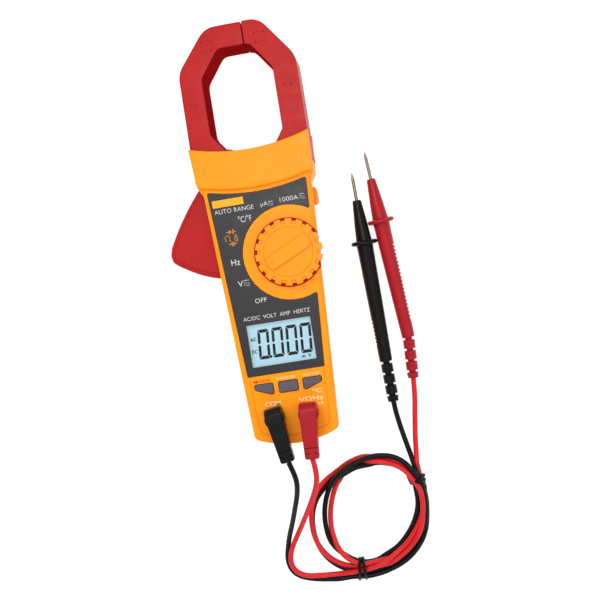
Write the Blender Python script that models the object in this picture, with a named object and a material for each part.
"""A clamp meter with its two test leads, lying face up with its jaws towards +Y.

The numbers below are millimetres. Y is measured from a line just inside the casing's lower end and
Z from the flat rear face. The origin of the scene is on the rear face, ORIGIN_Y above that line, and
X = 0 is the meter's middle.
"""

from math import asin, atan2, cos, degrees, hypot, pi, radians, sin, sqrt

import bmesh
import bpy
from mathutils import Matrix, Vector

MM = 0.001
ORIGIN_Y = 110.0
GAP = 0.3  # clearance between pieces that touch

# Casing
FACE_Z = 36.0
HEAD_Z = 38.0
SPLIT_Z = 19.0
WALL = 2.4
INNER_FACE_Z = FACE_Z - WALL
BOTTOM_HALF_WIDTH = 25.4
SHOULDER_HALF_WIDTH = 32.5
HEAD_LEFT_X = -36.9
HEAD_RIGHT_X = 35.3
SHOULDER_Y = 152.0
HEAD_LOW_Y = 163.0  # the sides stand upright above this
HEAD_TOP_Y = 180.9
HEAD_DIP = 5.5  # how far the cover's upper edge dips in the middle
EDGE_ROUND = 2.4
DRAFT_Z = 28.0  # below this the body's sides and lower end lean in towards the rear
SIDE_DRAFT = 0.075
END_DRAFT = 2.5

# Jaws
JAW_BACK_Z = 7.0
JAW_FRONT_Z = 33.0
JAW_SPLIT_Z = 20.0
JAW_TOP_Y = 251.5
JAW_LEFT_X = -36.3
JAW_RIGHT_X = 34.8
WINDOW_LEFT_X = -22.7
WINDOW_RIGHT_X = 20.4
WINDOW_TOP_Y = 237.7
TIP_X = 5.8  # where the two jaws meet
JAW_WALL = 2.2
FRONT_POCKET = (JAW_SPLIT_Z - 1, JAW_FRONT_Z - JAW_WALL)
REAR_POCKET = (JAW_BACK_Z + JAW_WALL, JAW_SPLIT_Z + 1)
PIVOT = (-16.0, 166.0)
HUB_RADIUS = 12.0
BUSH_RADIUS = 4.0
LEVER_BACK_Z = 11.5
LEVER_FRONT_Z = 25.5
LEVER_REACH = 65.5  # from the pivot to the trigger's lower edge

# Dial
DIAL = (12.9, 111.2)
KNOB_RADIUS = 19.8
WELL_RADIUS = 20.6
WELL = (12.6, 111.2)
WELL_FLOOR_Z = 31.8
KNOB_TOP_Z = 39.6
KNOB_BAR = (14.2, 3.8, 1.3)  # half-length, half-width and height of the raised pointer bar
NOTCHES = 18
FIRST_NOTCH = 12.0  # degrees
DIAL_STEP = 25.6  # degrees between two settings
POINTER_ANGLE = 204.8  # the setting that the knob rests at

# Board and display
BOARD_Z = (26.2, 27.8)
DISPLAY = (-19.4, 19.0, 46.8, 71.9)

# Sockets and leads
SOCKETS = {"com_jack": -10.6, "volt_jack": 9.5}  # x of each
SOCKET_Y = 16.5
LEAD_RADIUS = 1.5
LEAD_SEGMENT = 8.6  # spacing of the points along a lead

# The bound double loop that the two leads make: x, y and half-width of its band, anticlockwise
LOOP = [
    (23.5, -90.0, 5.6), (43.0, -87.6, 6.6), (60.2, -72.6, 6.4), (67.0, -54.0, 5.0), (65.8, -41.0, 4.4),
    (58.8, -32.4, 3.4), (50.4, -26.2, 4.2), (39.0, -22.4, 4.8), (21.0, -27.8, 5.4), (7.6, -41.5, 7.2),
    (2.4, -59.0, 8.0), (7.4, -75.6, 7.2),
]
LOOP_LOW_Z = 1.3
LOOP_HIGH_Z = 7.3
LOOP_TIES = {"lower_tie": (0, 74.0), "upper_tie": (4, 20.0)}


# ---------------------------------------------------------------- materials and objects

def material(name, colour, roughness, metallic=0.0):
    made = bpy.data.materials.new(name)
    made.use_nodes = True
    shader = made.node_tree.nodes["Principled BSDF"]
    shader.inputs["Base Color"].default_value = (*colour, 1.0)
    shader.inputs["Roughness"].default_value = roughness
    shader.inputs["Metallic"].default_value = metallic
    made.diffuse_color = (*colour, 1.0)
    return made


def point(x, y, z):
    return Vector((x, y - ORIGIN_Y, z)) * MM


def add_object(name, mesh, finish, origin=None):
    """An object made from a bmesh whose points are in millimetres from the bottom end of the casing."""
    bmesh.ops.recalc_face_normals(mesh, faces=mesh.faces)
    start = point(*origin) if origin else Vector()
    for vertex in mesh.verts:
        vertex.co = point(*vertex.co) - start
    data = bpy.data.meshes.new(name)
    mesh.to_mesh(data)
    mesh.free()
    data.materials.append(finish)
    data.shade_smooth()
    data.set_sharp_from_angle(angle=radians(32))
    made = bpy.data.objects.new(name, data)
    made.location = start
    bpy.context.scene.collection.objects.link(made)
    return made


def boolean(target, tool, operation="DIFFERENCE"):
    tool.hide_render = True
    tool.display_type = "WIRE"
    modifier = target.modifiers.new(f"{operation.title()} {tool.name}", "BOOLEAN")
    modifier.operation = operation
    modifier.solver = "EXACT"
    modifier.object = tool


def cut(target, name, mesh):
    boolean(target, add_object(f"cutter_{name}", mesh, target.data.materials[0]))


def join(target, name, mesh):
    boolean(target, add_object(f"adder_{name}", mesh, target.data.materials[0]), "UNION")


def hang(obj, axis_name, where):
    """Parent an object to an empty on its joint's axis."""
    holder = bpy.data.objects.get(axis_name)
    if holder is None:
        holder = bpy.data.objects.new(axis_name, None)
        holder.location = point(*where)
        bpy.context.scene.collection.objects.link(holder)
    obj.parent = holder
    obj.location = obj.location - holder.location


# ---------------------------------------------------------------- outlines

def arc(centre, radius, first, last, count):
    """Points from angle first to angle last, in degrees, both ends included."""
    turns = [radians(first + (last - first) * i / (count - 1)) for i in range(count)]
    return [(centre[0] + radius * cos(a), centre[1] + radius * sin(a)) for a in turns]


def bow(start, end, rise, count):
    """Points on the circular arc from start to end that bulges to the left by rise."""
    (x0, y0), (x1, y1) = start, end
    chord = hypot(x1 - x0, y1 - y0)
    along = ((x1 - x0) / chord, (y1 - y0) / chord)
    radius = (chord * chord / 4 + rise * rise) / (2 * abs(rise))
    half = asin(min(1.0, chord / 2 / radius))
    side = 1 if rise > 0 else -1
    found = []
    for i in range(count):
        a = -half + 2 * half * i / (count - 1)
        s = chord / 2 + radius * sin(a)
        t = side * (radius * cos(a) - (radius - abs(rise)))
        found.append((x0 + along[0] * s - along[1] * t, y0 + along[1] * s + along[0] * t))
    return found


def rounded(corners, steps=4):
    """An outline from (x, y) or (x, y, radius) corners, with an arc at each corner that has a radius."""
    outline = []
    count = len(corners)
    for i, corner in enumerate(corners):
        here = Vector(corner[:2])
        radius = corner[2] if len(corner) > 2 else 0.0
        before = (Vector(corners[i - 1][:2]) - here).normalized()
        after = (Vector(corners[(i + 1) % count][:2]) - here).normalized()
        bend = before.angle(after)
        if radius == 0.0 or pi - bend < 0.02:
            outline.append((here.x, here.y))
            continue
        reach = radius / sin(bend / 2)
        centre = here + (before + after).normalized() * reach
        first = here + before * (radius / (sin(bend / 2) / cos(bend / 2)))
        last = here + after * (radius / (sin(bend / 2) / cos(bend / 2)))
        a0 = atan2(first.y - centre.y, first.x - centre.x)
        a1 = atan2(last.y - centre.y, last.x - centre.x)
        turn = (a1 - a0 + pi) % (2 * pi) - pi
        for k in range(steps + 1):
            a = a0 + turn * k / steps
            outline.append((centre.x + radius * cos(a), centre.y + radius * sin(a)))
    return outline


def inset(outline, distance):
    """The outline moved inwards by distance (outwards if negative), with mitred corners."""
    area = sum(
        outline[i - 1][0] * outline[i][1] - outline[i][0] * outline[i - 1][1]
        for i in range(len(outline))
    )
    side = 1 if area > 0 else -1
    moved = []
    count = len(outline)
    for i, here in enumerate(outline):
        a = Vector(here) - Vector(outline[i - 1])
        b = Vector(outline[(i + 1) % count]) - Vector(here)
        a.normalize()
        b.normalize()
        normal_a = Vector((-a.y, a.x)) * side
        normal_b = Vector((-b.y, b.x)) * side
        middle = (normal_a + normal_b).normalized()
        reach = distance / max(0.3, middle.dot(normal_a))
        moved.append((here[0] + middle.x * reach, here[1] + middle.y * reach))
    return moved


def rectangle(x0, x1, y0, y1, radius=0.0, steps=3):
    corners = [(x0, y0, radius), (x1, y0, radius), (x1, y1, radius), (x0, y1, radius)]
    return rounded(corners, steps)


# ---------------------------------------------------------------- solids

def prism(outline, z0, z1, round_top=0.0, round_bottom=0.0, segments=2):
    mesh = bmesh.new()
    floor = mesh.faces.new([mesh.verts.new((x, y, z0)) for x, y in outline])
    grown = bmesh.ops.extrude_face_region(mesh, geom=[floor])
    top = [v for v in grown["geom"] if isinstance(v, bmesh.types.BMVert)]
    for vertex in top:
        vertex.co.z = z1
    for level, radius in ((z1, round_top), (z0, round_bottom)):
        if radius == 0.0:
            continue
        rim = [e for e in mesh.edges if all(abs(v.co.z - level) < 1e-6 for v in e.verts)]
        bmesh.ops.bevel(
            mesh, geom=rim, offset=radius, segments=segments, profile=0.5, affect="EDGES", clamp_overlap=True
        )
    return mesh


def box(x0, x1, y0, y1, z0, z1, radius=0.0):
    return prism(rectangle(x0, x1, y0, y1, radius), z0, z1)


def disc(centre, radius, z0, z1, sides=32, round_top=0.0):
    outline = arc(centre, radius, 0, 360 - 360 / sides, sides)
    return prism(outline, z0, z1, round_top)


def merged(*meshes):
    """Several separate bodies in one mesh, for a cutter."""
    whole = bmesh.new()
    for mesh in meshes:
        copy = bpy.data.meshes.new("copy")
        mesh.to_mesh(copy)
        mesh.free()
        whole.from_mesh(copy)
        bpy.data.meshes.remove(copy)
    return whole


def skinned(rings):
    """A closed skin over rings of the same number of points, with a face across each end."""
    mesh = bmesh.new()
    levels = [[mesh.verts.new(place) for place in ring] for ring in rings]
    count = len(levels[0])
    for low, high in zip(levels, levels[1:]):
        for k in range(count):
            mesh.faces.new((low[k], low[(k + 1) % count], high[(k + 1) % count], high[k]))
    mesh.faces.new(levels[0])
    mesh.faces.new(levels[-1])
    return mesh


def looped(rings):
    """A closed skin over rings whose last one joins the first."""
    mesh = bmesh.new()
    levels = [[mesh.verts.new(place) for place in ring] for ring in rings]
    count = len(levels[0])
    for low, high in zip(levels, levels[1:] + levels[:1]):
        for k in range(count):
            mesh.faces.new((low[k], low[(k + 1) % count], high[(k + 1) % count], high[k]))
    return mesh


def turned(profile, base, along, sides=20, up=Vector((0, 0, 1))):
    """A solid turned about the line from base along a direction, from (distance, radius) pairs."""
    axis = Vector(along).normalized()
    across = axis.cross(up).normalized()
    other = across.cross(axis)
    rings = []
    for s, r in profile:
        turns = [2 * pi * k / sides for k in range(sides)]
        rings.append([Vector(base) + axis * s + (across * cos(a) + other * sin(a)) * r for a in turns])
    return skinned(rings)


def side_prism(outline_yz, x0, x1, radius=0.0):
    """A prism along X from an outline of (y, z) points."""
    mesh = prism(outline_yz, x0, x1, radius, 0.0)
    for vertex in mesh.verts:
        y, z, x = vertex.co
        vertex.co = (x, y, z)
    return mesh


# ---------------------------------------------------------------- casing

def head_top():
    """The head's concave upper edge, from right to left."""
    return bow((HEAD_RIGHT_X, HEAD_TOP_Y), (HEAD_LEFT_X, HEAD_TOP_Y), HEAD_DIP, 13)


def head_outline():
    """The head cover: concave upper edge, rounded lower corners and a lower edge that bows down."""
    low = bow((-32.8, 156.6), (32.0, 156.6), -4.3, 11)
    return rounded([*low, (34.3, 157.4, 1.6), *head_top(), (-35.3, 157.4, 1.6)])


def case_outline():
    """The whole silhouette of the casing: body and head in one."""
    low = bow((-22.0, 2.6), (22.0, 2.6), -4.1, 9)
    right = [(BOTTOM_HALF_WIDTH, 4.3, 3.4), (SHOULDER_HALF_WIDTH, SHOULDER_Y, 4.0), (34.8, 157.5, 4.0)]
    left = [(-35.6, 157.5, 4.0), (-SHOULDER_HALF_WIDTH, SHOULDER_Y, 4.0), (-BOTTOM_HALF_WIDTH, 4.3, 3.4)]
    return rounded([*low, *right, *head_top(), *left])


def drafted(outline, z):
    """The casing's outline at a height: the body's sides and lower end lean in towards the rear."""
    share = max(0.0, 1 - z / DRAFT_Z)
    moved = []
    for x, y in outline:
        narrow = SIDE_DRAFT * share * min(1.0, max(0.0, (HEAD_LOW_Y - y) / 12))
        lift = END_DRAFT * share * max(0.0, 1 - y / 90)
        moved.append((x * (1 - narrow), y + lift))
    return moved


def stacked(outline, levels):
    """A solid through the drafted outline at each (height, distance in from the outline)."""
    rings = []
    for z, distance in levels:
        rings.append([(x, y, z) for x, y in inset(drafted(outline, z), distance)])
    mesh = skinned(rings)
    sides = [face for face in mesh.faces if len(face.verts) == 4]
    bmesh.ops.triangulate(mesh, faces=sides)
    return mesh


def rounding(radius, steps=3):
    """(depth below the surface, distance in from the side) of a rounded edge, from the surface outwards."""
    turns = [pi / 2 * (1 - k / steps) for k in range(steps + 1)]
    return [(radius * (1 - sin(a)), radius * (1 - cos(a))) for a in turns]


def body_half_width(y):
    slope = (SHOULDER_HALF_WIDTH - BOTTOM_HALF_WIDTH) / (SHOULDER_Y - 5.6)
    return BOTTOM_HALF_WIDTH + slope * (y - 5.6)


def body_cavity():
    """The hollow of the body, open towards the head."""
    low = bow((-19.0, 6.2), (19.0, 6.2), -3.2, 5)
    return rounded([
        *low,
        (body_half_width(8.0) - WALL, 8.0, 2.0),
        (body_half_width(153.0) - WALL, 153.0),
        (body_half_width(153.0) - WALL, 165.0),
        (-body_half_width(153.0) + WALL, 165.0),
        (-body_half_width(153.0) + WALL, 153.0),
        (-body_half_width(8.0) + WALL, 8.0, 2.0),
    ])


def jaw_bay(z0, z1):
    """Room between the head's two plates for the jaws and their lever."""
    outline = [(-60, 147.5), (-8, 147.5), (-8, 163.3), (60, 163.3), (60, 200), (-60, 200)]
    return prism(outline, z0, z1)


def lever_slot(z0, z1):
    return box(-60, -20, 99.9, 158, z0, z1)


SCREWS = {
    "casing_screw_1": (-19.0, 11.4),
    "casing_screw_2": (19.0, 11.4),
    "casing_screw_3": (20.0, 149.8),
    "casing_screw_4": PIVOT,
}
POST_SCREWS = ("casing_screw_1", "casing_screw_2", "casing_screw_3")  # the ones with a post of their own
SIDE_BUTTON = (137.4, 148.4, 13.0, 25.0)  # lowest and highest y and z


def panel_outline():
    """The overlay: a tapered field that goes round the dial's ring and ends in a tongue above it."""
    low = degrees(atan2(-25.4, 12.1))
    high = degrees(atan2(23.7, 15.5))
    around = arc((DIAL[0] + 0.5, DIAL[1]), 28.3, low, high - 360, 27)
    dip = bow((29.7, 153.6), (-30.0, 153.6), 3.8, 9)
    return rounded([
        (-23.3, 41.6, 0.8),
        (22.8, 41.6, 0.8),
        (*around[0], 0.8),
        *around[1:-1],
        (*around[-1], 0.8),
        (*dip[0], 1.0),
        *dip[1:-1],
        (*dip[-1], 1.0),
    ], 3)


def key_outlines():
    """The three keys below the display; the outer two slope away towards the sides."""
    top, side, foot = 36.3, 33.4, 29.9
    left = [(-20.2, top, 0.9), (-20.2, side, 0.9), (-11.0, foot, 0.9), (-9.2, foot, 0.9), (-9.2, top, 0.9)]
    right = [(8.8, top, 0.9), (8.8, foot, 0.9), (10.6, foot, 0.9), (20.0, side, 0.9), (20.0, top, 0.9)]
    middle = rectangle(-5.8, 5.6, foot, top, 0.9)
    return {"select": rounded(left, 3), "function": middle, "range": rounded(right, 3)}


def build_front_casing(finish):
    edge = [(FACE_Z - depth, distance) for depth, distance in rounding(EDGE_ROUND)]
    casing = add_object(
        "front_casing",
        stacked(case_outline(), [(SPLIT_Z + GAP / 2, 0.0), (DRAFT_Z, 0.0), *reversed(edge)]),
        finish,
    )
    join(casing, "head_cover", prism(head_outline(), FACE_Z - 1.0, HEAD_Z, 1.0))
    hollow = stacked(body_cavity(), [(SPLIT_Z - 1, 0.0), (DRAFT_Z, 0.0), (INNER_FACE_Z, 0.0)])
    cut(casing, "front_cavity", hollow)
    cut(casing, "front_bay", jaw_bay(SPLIT_Z - 1, JAW_FRONT_Z + GAP))
    cut(casing, "front_slot", lever_slot(SPLIT_Z - 1, LEVER_FRONT_Z + GAP))
    around = arc(WELL, WELL_RADIUS + 1.6, 0, 352.5, 48)
    inside = [(min(x, body_half_width(y) - 0.6), y) for x, y in around]
    join(casing, "dial_well", prism(inside, WELL_FLOOR_Z - 1.5, FACE_Z - 1.0))
    cut(casing, "dial_well", disc(WELL, WELL_RADIUS, WELL_FLOOR_Z, FACE_Z + 4, 48))
    cut(casing, "dial_hole", disc(DIAL, 5.2, WELL_FLOOR_Z - 3, WELL_FLOOR_Z + 1, 20))
    cut(casing, "overlay_seat", prism(inset(panel_outline(), -GAP), FACE_Z - 0.7, FACE_Z + 4))
    x0, x1, y0, y1 = DISPLAY
    cut(casing, "display_hole", box(x0 - 1, x1 + 1, y0 - 0.8, y1 + 0.8, INNER_FACE_Z - 1, FACE_Z + 2))
    keys = [prism(inset(outline, -0.35), INNER_FACE_Z - 1, FACE_Z + 2) for outline in key_outlines().values()]
    cut(casing, "key_holes", merged(*keys))
    holes = [disc((x, SOCKET_Y), 5.2, INNER_FACE_Z - 1, FACE_Z + 2, 24) for x in SOCKETS.values()]
    cut(casing, "socket_holes", merged(*holes))
    places = [SCREWS[name] for name in POST_SCREWS]
    posts = [disc(where, 3.0, SPLIT_Z + GAP / 2, INNER_FACE_Z + 1, 16) for where in places]
    join(casing, "screw_posts", merged(*posts))
    bores = [disc(where, 1.6, SPLIT_Z - 1, 29, 12) for where in places]
    bores.append(disc(PIVOT, 1.6, JAW_FRONT_Z - 1, 36.4, 12))
    cut(casing, "screw_bores", merged(*bores))
    y0, y1, z0, z1 = SIDE_BUTTON
    opening = rectangle(y0 - GAP, y1 + GAP, z0 - GAP, z1 + GAP, 3.0)
    cut(casing, "side_opening_front", side_prism(opening, 27.0, 40))
    return casing


def build_rear_casing(finish):
    casing = add_object(
        "rear_casing",
        stacked(case_outline(), [*rounding(EDGE_ROUND), (SPLIT_Z - GAP / 2, 0.0)]),
        finish,
    )
    cut(casing, "rear_cavity", stacked(body_cavity(), [(WALL, 0.0), (SPLIT_Z + 1, 0.0)]))
    cut(casing, "rear_bay", jaw_bay(JAW_BACK_Z - GAP, SPLIT_Z + 1))
    cut(casing, "rear_slot", lever_slot(LEVER_BACK_Z - GAP, SPLIT_Z + 1))
    join(casing, "battery_frame", box(-19, 19, 19.5, 87, WALL - 0.4, 12))
    places = [SCREWS[name] for name in POST_SCREWS]
    posts = [disc(where, 3.0, WALL - 0.4, SPLIT_Z - GAP / 2, 16) for where in places]
    feet = [disc(where, 4.2, WALL - 0.6, 5.5, 20) for where in places]
    join(casing, "rear_posts", merged(*posts))
    join(casing, "rear_feet", merged(*feet))
    cut(casing, "door_seat", box(-16.8, 16.8, 21.7, 84.3, -1, 2.7, 1.5))
    cut(casing, "battery_hole", box(-14.2, 14.2, 25.5, 77.6, -1, 13))
    cut(casing, "door_screw_hole", disc((0, 81), 1.7, 1, 9.5, 12))
    bores = [disc(where, 1.7, -1, SPLIT_Z + 1, 12) for where in SCREWS.values()]
    cut(casing, "rear_bores", merged(*bores))
    heads = [disc(where, 2.9, -1, 3.3, 20) for where in SCREWS.values()]
    cut(casing, "rear_counterbores", merged(*heads))
    y0, y1, z0, z1 = SIDE_BUTTON
    opening = rectangle(y0 - GAP, y1 + GAP, z0 - GAP, z1 + GAP, 3.0)
    cut(casing, "side_opening_rear", side_prism(opening, 27.0, 40))
    return casing


def build_screw(name, where, head_z, head_radius, head_height, tip_z, finish):
    """A cross-recessed screw driven in from the rear."""
    screw = add_object(name, disc(where, head_radius, head_z, head_z + head_height, 20), finish)
    join(screw, f"{name}_shank", disc(where, 1.3, head_z + head_height / 2, tip_z, 12))
    x, y = where
    bars = merged(box(x - 1.5, x + 1.5, y - 0.3, y + 0.3, head_z - 1, head_z + 0.6))
    cut(screw, f"{name}_slot_a", bars)
    cut(screw, f"{name}_slot_b", box(x - 0.3, x + 0.3, y - 1.5, y + 1.5, head_z - 1, head_z + 0.6))
    return screw


def build_casing(orange, steel):
    build_front_casing(orange)
    build_rear_casing(orange)
    for name, where in SCREWS.items():
        tip = 35.6 if where == PIVOT else 28.0
        build_screw(name, where, 1.0, 2.5, 1.9, tip, steel)
    door = add_object("battery_door", box(-16.5, 16.5, 22.0, 84.0, 0.0, 2.4, 1.4), orange, (0, 53, 0))
    cut(door, "door_bore", disc((0, 81), 1.7, -1, 4, 12))
    cut(door, "door_counterbore", disc((0, 81), 2.9, -1, 1.4, 20))
    screw = build_screw("battery_door_screw", (0, 81), 0.2, 2.5, 0.9, 9.2, steel)
    for obj in (door, screw):
        hang(obj, "door_way_out", (0, 53, 0))


# ---------------------------------------------------------------- jaws

def fixed_jaw_outline():
    corner = sqrt((HUB_RADIUS + 0.4) ** 2 - 6.5**2)
    first = degrees(atan2(6.5, corner))
    hollow = arc(PIVOT, HUB_RADIUS + 0.4, -35, first, 8)
    return rounded([
        (TIP_X + 0.2, WINDOW_TOP_Y),
        (8.8, WINDOW_TOP_Y, 5.0),
        (WINDOW_RIGHT_X, 221.6, 7.0),
        (WINDOW_RIGHT_X, 184.6, 3.0),
        (12.0, 172.5, 2.0),
        *reversed(hollow),
        (-2.5, 155.5),
        (28.2, 155.5),
        (28.2, 163.7),
        (JAW_RIGHT_X + 0.2, 163.7),
        (JAW_RIGHT_X, 226.3, 14.0),
        (16.4, JAW_TOP_Y, 12.0),
        (TIP_X + 0.8, JAW_TOP_Y),
        (TIP_X + 0.2, JAW_TOP_Y - 1.0),
    ], 5)


def moving_jaw_outline():
    hub = arc(PIVOT, HUB_RADIUS, -90, 86.7, 13)
    return rounded([
        (TIP_X - 0.2, WINDOW_TOP_Y),
        (TIP_X - 0.2, JAW_TOP_Y - 1.0),
        (TIP_X - 0.8, JAW_TOP_Y),
        (-16.5, JAW_TOP_Y, 13.0),
        (JAW_LEFT_X, 227.2, 14.0),
        (JAW_LEFT_X - 0.4, 161.0, 3.0),
        (-33.0, 156.0, 4.0),
        *hub,
        (WINDOW_LEFT_X, 187.6, 7.0),
        (WINDOW_LEFT_X, 221.4, 8.0),
        (-10.5, WINDOW_TOP_Y, 6.0),
    ], 5)


def lever_outline():
    """The trigger: its lower edge is an arc about the pivot, so that it slides into the casing."""
    low = arc(PIVOT, LEVER_REACH, 259.5, 232.5, 9)
    high = bow((-59.0, 126.0), (-35.6, 159.2), 1.3, 6)
    return rounded([
        (-14.6, 156.0),
        *low,
        (-59.4, 116.4, 3.6),
        (-60.4, 121.0, 4.0),
        *high,
        (-34.0, 168.0),
        (-16.0, 168.0),
    ], 4)


def core_outline(sign):
    """The laminated core inside one jaw, from the tip down to the joint in the head."""
    wall = 2.8
    top, inner_top = JAW_TOP_Y - wall, WINDOW_TOP_Y + wall
    if sign < 0:
        outer, inner, tip = JAW_LEFT_X + wall, WINDOW_LEFT_X - wall, TIP_X - 1.2
        return rounded([
            (tip, top),
            (-15.1, top, 8.0),
            (outer, 226.4, 6.0),
            (outer, 182.0),
            (inner, 182.0),
            (inner, 222.4, 4.0),
            (-11.9, inner_top, 4.0),
            (tip, inner_top),
        ], 4)
    outer, inner, tip = JAW_RIGHT_X - wall, WINDOW_RIGHT_X + wall, TIP_X + wall
    return rounded([
        (tip, inner_top),
        (10.0, inner_top, 1.6),
        (inner, 222.9, 4.0),
        (inner, 170.5, 2.0),
        (-0.6, 169.6, 1.0),
        (-0.6, 161.5),
        (26.4, 161.5, 2.0),
        (outer, 169.5, 3.0),
        (outer, 225.7, 6.0),
        (15.0, top, 8.0),
        (tip, top),
    ], 4)


def build_fixed_jaw(red, iron, dark):
    outline = fixed_jaw_outline()
    pocket = inset(core_outline(1), -0.4)
    front_z, rear_z = JAW_SPLIT_Z + GAP / 2, JAW_SPLIT_Z - GAP / 2
    halves = {
        "fixed_jaw_front": ((front_z, JAW_FRONT_Z, 1.1, 0.0), FRONT_POCKET),
        "fixed_jaw_rear": ((JAW_BACK_Z, rear_z, 0.0, 1.1), REAR_POCKET),
    }
    for name, (shell, (low, high)) in halves.items():
        half = add_object(name, prism(outline, *shell), red)
        cut(half, f"{name}_pocket", prism(pocket, low, high))
        cut(half, f"{name}_sensor", box(TIP_X + 1.5, TIP_X + 4.0, 241.0, 249.0, low, high))
    core = prism(core_outline(1), JAW_BACK_Z + JAW_WALL + 0.3, JAW_FRONT_Z - JAW_WALL - 0.3)
    add_object("fixed_core", core, iron)
    sensor = box(TIP_X + 1.8, TIP_X + 2.5, 242.8, 247.2, 17.5, 22.5)
    add_object("hall_sensor", sensor, dark)


def build_moving_jaw(red, iron, steel, brass):
    outline = moving_jaw_outline()
    pocket = inset(core_outline(-1), -0.4)
    front_z, rear_z = JAW_SPLIT_Z + GAP / 2, JAW_SPLIT_Z - GAP / 2
    halves = {
        "moving_jaw_front": (
            (front_z, JAW_FRONT_Z, 1.1, 0.0), (front_z, LEVER_FRONT_Z - 0.8, 2.6, 0.0), FRONT_POCKET,
        ),
        "moving_jaw_rear": ((JAW_BACK_Z, rear_z, 0.0, 1.1), (LEVER_BACK_Z, rear_z, 0.0, 2.6), REAR_POCKET),
    }
    pivot = (*PIVOT, 0)
    pieces = []
    for name, (arm, lever, (low, high)) in halves.items():
        half = add_object(name, prism(outline, *arm), red, pivot)
        join(half, f"{name}_trigger", prism(lever_outline(), *lever, segments=3))
        if name == "moving_jaw_front":
            pad = prism(inset(lever_outline(), 3.3), LEVER_FRONT_Z - 2.0, LEVER_FRONT_Z, 0.6, segments=1)
            join(half, "trigger_pad", pad)
        cut(half, f"{name}_pocket", prism(pocket, low, high))
        cut(half, f"{name}_spring_room", disc(PIVOT, 8.6, low, high, 28))
        cut(half, f"{name}_bore", disc(PIVOT, BUSH_RADIUS + GAP, JAW_BACK_Z - 1, JAW_FRONT_Z + 1, 24))
        pieces.append(half)
    core = prism(core_outline(-1), JAW_BACK_Z + JAW_WALL + 0.3, JAW_FRONT_Z - JAW_WALL - 0.3)
    pieces.append(add_object("moving_core", core, iron, pivot))
    pieces.append(build_trigger_spring(steel))
    for obj in pieces:
        hang(obj, "jaw_pivot", pivot)
    sleeve = disc(PIVOT, BUSH_RADIUS, JAW_BACK_Z + 0.1, JAW_FRONT_Z - 0.1, 24)
    bush = add_object("jaw_pivot_bush", sleeve, brass)
    cut(bush, "bush_bore", disc(PIVOT, 1.9, JAW_BACK_Z - 1, JAW_FRONT_Z + 1, 12))


def build_trigger_spring(finish):
    """A torsion spring wound round the bush, with its two legs inside the hub."""
    turns, per_turn, radius, low, pitch = 4, 12, 6.4, 12.0, 3.2
    data = bpy.data.curves.new("trigger_spring", "CURVE")
    data.dimensions = "3D"
    data.bevel_depth = 0.45 * MM
    data.bevel_resolution = 1
    data.use_fill_caps = True
    spline = data.splines.new("POLY")
    count = turns * per_turn + 1
    spline.points.add(count - 1)
    pivot = point(*PIVOT, 0)
    for i in range(count):
        a = 2 * pi * i / per_turn
        x, y = PIVOT[0] + radius * cos(a), PIVOT[1] + radius * sin(a)
        spline.points[i].co = (*(point(x, y, low + pitch * i / per_turn) - pivot), 1)
    data.materials.append(finish)
    spring = bpy.data.objects.new("trigger_spring", data)
    spring.location = pivot
    bpy.context.scene.collection.objects.link(spring)
    return spring


# ---------------------------------------------------------------- face, display, controls

def build_face(panel, clear, glass, light, rubber):
    x0, x1, y0, y1 = DISPLAY
    overlay = add_object("face_panel", prism(panel_outline(), FACE_Z - 0.4, FACE_Z + 0.1), panel)
    cut(overlay, "overlay_window", box(x0, x1, y0, y1, FACE_Z - 1, FACE_Z + 1, 0.4))
    lens = box(x0 - 0.7, x1 + 0.7, y0 - 0.5, y1 + 0.5, INNER_FACE_Z, FACE_Z - 0.8)
    add_object("display_lens", lens, clear)
    add_object("lcd_glass", box(x0 - 3, x1 + 3, y0 - 3, y1 + 3.5, 31.2, 32.9), glass)
    add_object("backlight_panel", box(x0 - 2, x1 + 2, y0 - 1, y1 + 3, 28.2, 30.9), light)
    add_object("zebra_strip", box(x0 - 1, x1 + 1, y0 - 2.8, y0 - 1.3, 28.1, 30.9), rubber)


def build_board(board, dark, steel, brass):
    y0, y1 = 27.0, 145.5
    edge = 3.4
    outline = rounded([
        (-body_half_width(y0) + edge, y0, 1.5),
        (body_half_width(y0) - edge, y0, 1.5),
        (body_half_width(y1) - edge, y1, 1.5),
        (-body_half_width(y1) + edge, y1, 1.5),
    ])
    add_object("main_pcb", prism(outline, *BOARD_Z), board)
    add_object("buzzer", disc((17.0, 90.0), 7.0, 20.4, BOARD_Z[0] - GAP, 24), dark)
    battery = add_object("battery", box(-13.2, 13.2, 26.5, 72.6, 3.0, 20.4, 1.6), steel)
    terminals = [turned([(-1.0, 3.0), (2.4, 3.0)], (x, 72.6, 11.7), (0, 1, 0), 16) for x in (-6.3, 6.3)]
    join(battery, "battery_terminals", merged(*terminals))
    add_object("battery_snap", box(-12.6, 12.6, 75.3, 76.9, 5.4, 18.0), dark)
    block = add_object("jack_block", box(-15.2, 15.2, 8.9, 25.6, 12.0, 30.2), dark)
    wells = [disc((x, SOCKET_Y), 3.3, 11, 32, 20) for x in SOCKETS.values()]
    cut(block, "jack_block_bores", merged(*wells))
    for name, x in SOCKETS.items():
        jack = add_object(name, disc((x, SOCKET_Y), 3.0, 12.2, 30.4, 20), brass)
        cut(jack, f"{name}_bore", disc((x, SOCKET_Y), 2.15, 13.4, 32, 20))


def annulus(centre, inner, outer, z0, z1, sides=54):
    """A flat ring."""
    corners = ((inner, z0), (outer, z0), (outer, z1), (inner, z1))
    return looped([[(x, y, z) for x, y in arc(centre, r, 0, 360 - 360 / sides, sides)] for r, z in corners])


def about_dial(outline, degrees_round):
    """An outline drawn about (0, 0), turned and moved to the dial's axis."""
    turn = radians(degrees_round)
    return [
        (DIAL[0] + x * cos(turn) - y * sin(turn), DIAL[1] + x * sin(turn) + y * cos(turn)) for x, y in outline
    ]


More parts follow.
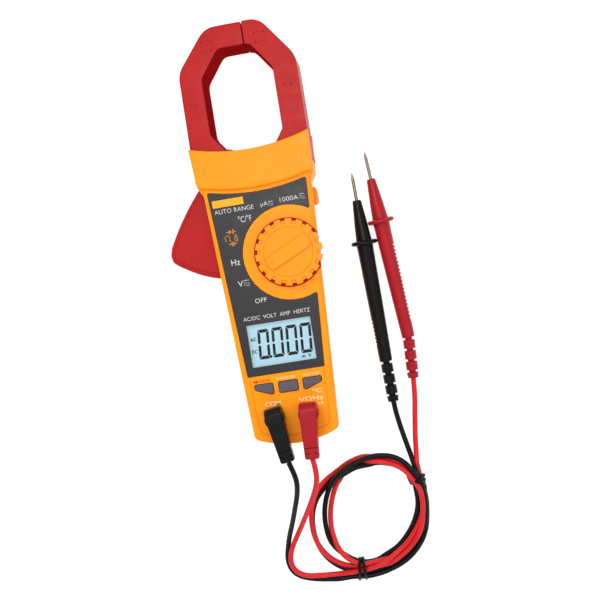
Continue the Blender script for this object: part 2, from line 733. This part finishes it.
def build_dial(orange, dark, steel):
    axis = (*DIAL, WELL_FLOOR_Z)
    body = disc(DIAL, KNOB_RADIUS, WELL_FLOOR_Z + GAP, KNOB_TOP_Z, 54, 0.5)
    knob = add_object("selector_dial", body, orange, axis)
    top = KNOB_TOP_Z + 2
    outer = KNOB_RADIUS + 2
    notches = {"knob_shallow": (16.6, 1.35, KNOB_TOP_Z - 0.9), "knob_deep": (18.5, 1.5, WELL_FLOOR_Z)}
    for name, (inner, width, low) in notches.items():
        slot = rounded([(inner, -width, 0.6), (outer, -width), (outer, width), (inner, width, 0.6)], 2)
        turns = [FIRST_NOTCH + 360.0 / NOTCHES * k for k in range(NOTCHES)]
        cut(knob, name, merged(*[prism(about_dial(slot, turn), low, top) for turn in turns]))
    cut(knob, "knob_groove", annulus(DIAL, 14.3, 15.0, KNOB_TOP_Z - 0.3, top))
    reach, half, rise = KNOB_BAR
    bar = about_dial(rectangle(-reach, reach, -half, half, 2.4), POINTER_ANGLE)
    join(knob, "knob_bar", prism(bar, KNOB_TOP_Z - 1, KNOB_TOP_Z + rise, 0.4, segments=1))
    dot = about_dial([(11.2, 0.0)], POINTER_ANGLE)[0]
    cut(knob, "knob_dot", disc(dot, 1.1, KNOB_TOP_Z + rise - 0.4, top, 16))
    cut(knob, "knob_socket", disc(DIAL, 4.9, WELL_FLOOR_Z - 1, 35.0, 20))
    rotor = add_object("dial_rotor", disc(DIAL, 14.5, 28.4, 30.0, 36), dark, axis)
    join(rotor, "rotor_shaft", disc(DIAL, 4.5, 29.0, 34.6, 20))
    teeth = [about_dial([(14.9, 0.0)], 90.0 + DIAL_STEP * (k - 3))[0] for k in range(7)]
    cut(rotor, "rotor_detents", merged(*[disc(tooth, 1.4, 27, 31, 10) for tooth in teeth]))
    for obj in (knob, rotor):
        hang(obj, "dial_axis", axis)
    x, y = DIAL
    leaf = rounded([
        (x - 9.0, y + 16.2),
        (x - 2.7, y + 16.2),
        (x, y + 14.9, 0.8),
        (x + 2.7, y + 16.2),
        (x + 9.0, y + 16.2),
        (x + 9.0, y + 16.9),
        (x - 9.0, y + 16.9),
    ], 2)
    add_object("detent_leaf", prism(leaf, 28.5, 29.9), steel)


def build_keys(grey, dark):
    centres = {"select": (-14.4, 33.4), "function": (-0.1, 33.1), "range": (14.2, 33.4)}
    for name, outline in key_outlines().items():
        x, y = centres[name]
        key = add_object(f"{name}_button", prism(outline, 32.6, 37.0, 0.5), grey, (x, y, FACE_Z))
        join(key, f"{name}_flange", prism(inset(outline, -0.9), 31.9, INNER_FACE_Z - GAP))
        join(key, f"{name}_stem", disc((x, y), 1.7, 30.6, 32.5, 12))
        hang(key, f"{name}_travel", (x, y, FACE_Z))
        switch = add_object(f"{name}_switch", box(x - 3, x + 3, y - 3, y + 3, 28.1, 29.0), dark)
        join(switch, f"{name}_dome", disc((x, y), 1.5, 28.6, 29.6, 12))


def build_side_button(orange, dark):
    y0, y1, z0, z1 = SIDE_BUTTON
    centre = (31.0, (y0 + y1) / 2, (z0 + z1) / 2)
    body = side_prism(rectangle(y0, y1, z0, z1, 3.4), 27.0, 34.0, 2.0)
    button = add_object("side_button", body, orange, centre)
    flange = rectangle(y0 - 0.9, y1 + 0.9, z0 - 0.8, z1 + 0.8, 2.0)
    join(button, "side_button_flange", side_prism(flange, 26.1, 27.5))
    hang(button, "side_travel", centre)
    switch = box(20.1, 24.3, centre[1] - 3.2, centre[1] + 3.2, 18.0, BOARD_Z[0] - GAP)
    add_object("side_switch", switch, dark)


# ---------------------------------------------------------------- leads

# Each row is x, y and height of the lead's middle.
BLACK_IN = [
    (-6.4, -10.9, 43.0), (-4.7, -17.3, 42.2), (-4.1, -23.4, 39.5), (-5.7, -31.5, 33.5), (-9.3, -41.2, 25.5),
    (-13.6, -51.8, 16.5), (-17.7, -61.3, 9.0), (-20.6, -69.9, 4.0), (-22.0, -77.0, 1.9), (-21.0, -83.0, 1.6),
    (-17.5, -87.6, 1.6), (-11.0, -90.6, 1.6), (-3.0, -92.3, 1.7), (5.0, -93.1, 2.4), (9.7, -93.4, 3.0),
]
RED_IN = [
    (7.9, -10.9, 43.0), (8.4, -17.3, 42.2), (7.7, -24.4, 39.0), (4.4, -32.6, 33.0), (-1.0, -42.4, 24.5),
    (-7.2, -53.0, 15.5), (-12.9, -62.5, 8.4), (-16.9, -70.0, 4.0), (-18.6, -77.0, 1.9), (-17.8, -81.4, 1.6),
    (-15.0, -84.9, 1.6), (-9.8, -87.3, 1.6), (-2.3, -88.9, 1.7), (5.3, -89.7, 2.4), (9.7, -90.0, 3.0),
]
BLACK_OUT = [
    (65.1, -31.0, 3.0), (64.0, -24.0, 2.0), (61.7, -13.0, 1.6), (60.0, -3.0, 1.9), (59.1, 5.0, 2.9),
    (58.9, 11.1, 3.8),
]
RED_OUT = [
    (68.9, -31.0, 3.0), (69.1, -23.0, 2.0), (69.9, -12.0, 1.6), (71.1, 0.0, 1.6), (72.4, 12.0, 2.6),
    (73.2, 23.6, 3.8),
]
# Socket x, end x and end y
PLUG_ENDS = {"black": (SOCKETS["com_jack"], -6.5, -10.6), "red": (SOCKETS["volt_jack"], 7.9, -10.6)}
PROBES = {
    # middle of the strain relief's end, of the grip's end, and of the finger guard
    "black": ((58.9, 11.4, 3.8), (58.3, 36.5, 4.4), (56.8, 110.5, 8.15)),
    "red": ((73.2, 23.9, 3.8), (74.2, 49.0, 4.4), (68.8, 122.0, 8.15)),
}
# Side of the grip, first and last distance from its heel, and number
GRIP_RIBS = {"black": (-1, 11.5, 25.5, 7), "red": (1, 11.5, 57.5, 20)}


def lofted(sections, place):
    """A closed skin over rounded rectangles: (distance, half-width, low, high, corner radius)."""
    rings = []
    for s, half, low, high, radius in sections:
        rings.append([place(s, t, z) for t, z in rectangle(-half, half, low, high, radius, 3)])
    return skinned(rings)


def slab(base, axis, s, half, across, heights):
    """A small block at a distance along an axis, between two distances across it and two heights."""
    side = axis.cross(Vector((0, 0, 1))).normalized()
    low, high = heights
    corners = [(across[0], low), (across[1], low), (across[1], high), (across[0], high)]
    return skinned([
        [base + axis * (s + end) + side * t + Vector((0, 0, z)) for t, z in corners] for end in (-half, half)
    ])


def build_plug(colour, finish, metal):
    """A right-angle plug: a head over the socket, a tapering arm and a grooved strain relief."""
    x, end_x, end_y = PLUG_ENDS[colour]
    run = Vector((end_x - x, end_y - SOCKET_Y, 0.0)).normalized()

    def place(s, t, z):
        return Vector((x, SOCKET_Y, 0)) + run * s + Vector((-run.y, run.x, 0)) * t + Vector((0, 0, z))

    sections = [
        (-5.6, 4.7, 37.4, 41.6, 1.2),
        (-5.2, 5.0, 36.6, 43.6, 1.4),
        (-4.2, 5.1, FACE_Z + GAP, 45.6, 1.2),
        (-2.8, 5.1, FACE_Z + GAP, 46.7, 1.0),
        (-1.0, 5.1, FACE_Z + GAP, 47.1, 0.9),
        (5.0, 4.9, FACE_Z + GAP, 47.1, 0.9),
        (6.2, 4.9, 36.8, 47.1, 0.9),
        (7.4, 4.8, 38.4, 47.0, 0.9),
        (19.8, 4.3, 38.8, 46.9, 0.9),
        (26.2, 4.2, 38.9, 46.7, 1.4),
        (26.9, 3.9, 39.3, 46.3, 1.5),
        (27.2, 3.3, 39.9, 45.7, 1.5),
    ]
    body = add_object(f"{colour}_plug", lofted(sections, place), finish)
    collar = disc((x, SOCKET_Y - 1.0), 5.9, FACE_Z + GAP + 0.2, 44.6, 32, 1.0)
    join(body, f"{colour}_plug_collar", collar)
    start = Vector((x, SOCKET_Y, 0))
    grooves = [
        slab(start, run, 20.3, 0.3, (-6, 6), (45.7, 49)),
        slab(start, run, 23.7, 0.3, (-6, -1.7), (45.4, 49)),
        slab(start, run, 23.7, 0.3, (1.2, 6), (45.4, 49)),
        slab(start, run, 23.7, 0.3, (-6, -3.7), (36, 44)),
        slab(start, run, 23.7, 0.3, (3.7, 6), (36, 44)),
        slab(start, run, 20.3, 0.3, (-6, -3.8), (36, 44.5)),
        slab(start, run, 20.3, 0.3, (3.8, 6), (36, 44.5)),
    ]
    cut(body, f"{colour}_plug_grooves", merged(*grooves))
    join(body, f"{colour}_plug_shroud", disc((x, SOCKET_Y), 4.7, 30.9, FACE_Z + 2, 24))
    cut(body, f"{colour}_plug_shroud_bore", disc((x, SOCKET_Y), 3.4, 30, 34, 20))
    cut(body, f"{colour}_plug_pin_bore", disc((x, SOCKET_Y), 2.1, 33, 44.3, 16))
    add_object(f"{colour}_plug_pin", disc((x, SOCKET_Y), 1.8, 14.2, 44.0, 16), metal)


def build_probe(colour, finish, metal):
    """A test probe: notched strain relief, tapering ribbed grip, finger guard, nose cone and steel tip."""
    tail, heel, guard = (Vector(place) for place in PROBES[colour])
    grip = (guard - heel).length
    heel_radius, middle = 3.95, 4.5
    profile = [
        (0.0, 3.6), (0.8, heel_radius), (grip * 0.5, middle), (grip - 4.0, 4.9), (grip - 1.5, 5.1),
        (grip - 1.2, 7.4), (grip - 0.7, 8.05), (grip + 0.7, 8.05), (grip + 1.2, 7.4), (grip + 1.5, 4.8),
        (grip + 12.0, 4.0), (grip + 25.6, 2.7), (grip + 26.3, 2.2),
    ]
    handle = add_object(f"{colour}_probe", turned(profile, heel, guard - heel, 18), finish)
    relief = [(0.05, 3.2)]
    notches = [4.1 + 6.7 * k for k in range(4)]
    for notch in notches:
        relief += [(notch - 0.8, 3.6), (notch - 0.55, 2.1), (notch + 0.55, 2.1), (notch + 0.8, 3.6)]
    relief[-1] = ((heel - tail).length + 1.5, 2.1)
    join(handle, f"{colour}_probe_relief", turned(relief, tail, heel - tail, 12))
    bore = turned([(grip + 12, 1.35), (grip + 30, 1.35)], heel, guard - heel, 12)
    cut(handle, f"{colour}_probe_bore", bore)
    back = (heel - tail).normalized()
    middles = [(a + b) / 2 for a, b in zip(notches, notches[1:])]
    slits = [slab(tail, back, s, 0.4, (-2.1, 2.1), (2.7, 5.0)) for s in middles]
    cut(handle, f"{colour}_probe_slits", merged(*slits))
    side, first, last, count = GRIP_RIBS[colour]
    ahead = (guard - heel).normalized()
    ribs = []
    for k in range(count):
        s = first + (last - first) * k / (count - 1)
        radius = heel_radius + (middle - heel_radius) * min(1.0, s / (grip * 0.5))
        across = sorted((side * (radius - 0.5), side * (radius + 2.0)))
        ribs.append(slab(heel, ahead, s, 0.5, across, (-3.0, 3.0)))
    cut(handle, f"{colour}_probe_ribs", merged(*ribs))
    tip = [(grip + 12.4, 1.0), (grip + 39.4, 1.0), (grip + 43.0, 0.25)]
    add_object(f"{colour}_probe_tip", turned(tip, heel, guard - heel, 12), metal)


def between(a, b, c, d, t):
    """The point a share t of the way from b to c on the smooth curve through a, b, c and d."""
    return 0.5 * (2 * b + (c - a) * t + (2 * a - 5 * b + 4 * c - d) * t**2 + (3 * b - a - 3 * c + d) * t**3)


def smooth_points(route, spacing):
    """Points a fixed distance apart on the smooth curve through the route."""
    knots = [Vector(p) for p in route]
    fine = []
    for i in range(len(knots) - 1):
        a = knots[max(i - 1, 0)]
        b, c = knots[i], knots[i + 1]
        d = knots[min(i + 2, len(knots) - 1)]
        fine += [between(a, b, c, d, k / 20) for k in range(20)]
    fine.append(knots[-1])
    total = sum((q - p).length for p, q in zip(fine, fine[1:]))
    count = max(2, round(total / spacing) + 1)
    step = total / (count - 1)
    found, travelled = [fine[0]], 0.0
    for p, q in zip(fine, fine[1:]):
        length = (q - p).length
        while travelled + length >= step * len(found) - 1e-6 and len(found) < count:
            found.append(p.lerp(q, (step * len(found) - travelled) / length))
        travelled += length
    return found


def add_tube(name, route, finish):
    data = bpy.data.curves.new(name, "CURVE")
    data.dimensions = "3D"
    data.bevel_depth = LEAD_RADIUS * MM
    data.bevel_resolution = 2
    data.use_fill_caps = True
    places = smooth_points(route, LEAD_SEGMENT)
    spline = data.splines.new("POLY")
    spline.points.add(len(places) - 1)
    for knot, place in zip(spline.points, places):
        knot.co = (*point(*place), 1)
    data.materials.append(finish)
    tube = bpy.data.objects.new(name, data)
    bpy.context.scene.collection.objects.link(tube)


def closed_curve(knots, per_span):
    """Points on the smooth closed curve through the knots."""
    found = []
    count = len(knots)
    for i in range(count):
        a, b, c, d = (Vector(knots[(i + k) % count]) for k in (-1, 0, 1, 2))
        found += [between(a, b, c, d, k / per_span) for k in range(per_span)]
    return found


def loop_frames():
    """The loop's middle line as (x, y, half-width, outward x, outward y)."""
    line = closed_curve(LOOP, 5)
    count = len(line)
    frames = []
    for i, here in enumerate(line):
        run = line[(i + 1) % count] - line[i - 1]
        run = Vector((run.x, run.y)).normalized()
        frames.append((here.x, here.y, here.z, run.y, -run.x))
    return frames


def build_loop(finish):
    """One solid ring in the place of the bound turns, with a flat where the leads come in and go out."""
    frames = loop_frames()
    corners = ((-1, LOOP_LOW_Z), (1, LOOP_LOW_Z), (1, LOOP_HIGH_Z), (-1, LOOP_HIGH_Z))
    rings = [[(x + side * w * ox, y + side * w * oy, z) for x, y, w, ox, oy in frames] for side, z in corners]
    ring = add_object("lead_coil", looped(rings), finish)
    join(ring, "lead_entry", box(10.0, 20.5, -96.0, -86.0, LOOP_LOW_Z + 0.1, LOOP_HIGH_Z - 0.5))
    join(ring, "lead_exit", box(63.2, 70.6, -46.0, -31.4, LOOP_LOW_Z + 0.1, LOOP_HIGH_Z - 0.5))


def build_tie(name, finish):
    """A wire tie: a flat band wound round the bundle."""
    station, facing = LOOP_TIES[name]
    x, y, half = LOOP[station]
    half += 1.6
    thick, width, high = 0.9, 3.6, LOOP_HIGH_Z + 0.3
    turn = Matrix.Rotation(radians(facing), 3, "Z")
    outer = rounded([
        (-half - thick, 0.1, 0.8), (half + thick, 0.1, 0.8), (half + thick, high + thick, 2.2),
        (-half - thick, high + thick, 2.2),
    ], 3)
    band = prism(outer, -width / 2, width / 2)
    hole = prism(rectangle(-half, half, 0.1 + thick, high), -width, width)
    for shape in (band, hole):
        for vertex in shape.verts:
            across, z, along = vertex.co
            spot = turn @ Vector((across, along, 0))
            vertex.co = (x + spot.x, y + spot.y, z)
    tie = add_object(name, band, finish)
    cut(tie, f"{name}_hole", hole)


def build_leads(red, black, steel):
    build_plug("black", black, steel)
    build_plug("red", red, steel)
    build_probe("black", black, steel)
    build_probe("red", red, steel)
    build_loop(black)
    for name in LOOP_TIES:
        build_tie(name, black)
    add_tube("black_lead_in", BLACK_IN, black)
    add_tube("red_lead_in", RED_IN, red)
    add_tube("black_lead_out", BLACK_OUT, black)
    add_tube("red_lead_out", RED_OUT, red)


def main():
    for obj in list(bpy.data.objects):
        bpy.data.objects.remove(obj, do_unlink=True)
    orange = material("casing_orange", (1.0, 0.4, 0.03), 0.4)
    red = material("jaw_red", (0.6, 0.03, 0.03), 0.45)
    dark = material("internal_black", (0.03, 0.03, 0.03), 0.5)
    iron = material("core_iron", (0.25, 0.25, 0.27), 0.4, 0.9)
    steel = material("spring_steel", (0.6, 0.6, 0.62), 0.3, 1.0)
    brass = material("brass", (0.8, 0.6, 0.25), 0.3, 1.0)
    panel = material("panel_grey", (0.07, 0.065, 0.07), 0.5)
    clear = material("clear_lens", (0.9, 0.95, 1.0), 0.05)
    glass = material("lcd_blue", (0.6, 0.85, 0.95), 0.2)
    light = material("backlight_white", (0.9, 0.95, 1.0), 0.4)
    rubber = material("zebra_rubber", (0.5, 0.4, 0.4), 0.7)
    board = material("board_green", (0.02, 0.2, 0.06), 0.5)
    grey = material("key_grey", (0.15, 0.14, 0.16), 0.5)
    build_casing(orange, steel)
    build_fixed_jaw(red, iron, dark)
    build_moving_jaw(red, iron, steel, brass)
    build_face(panel, clear, glass, light, rubber)
    build_board(board, dark, steel, brass)
    build_dial(orange, dark, steel)
    build_keys(grey, dark)
    build_side_button(orange, dark)
    build_leads(red, dark, steel)


main()
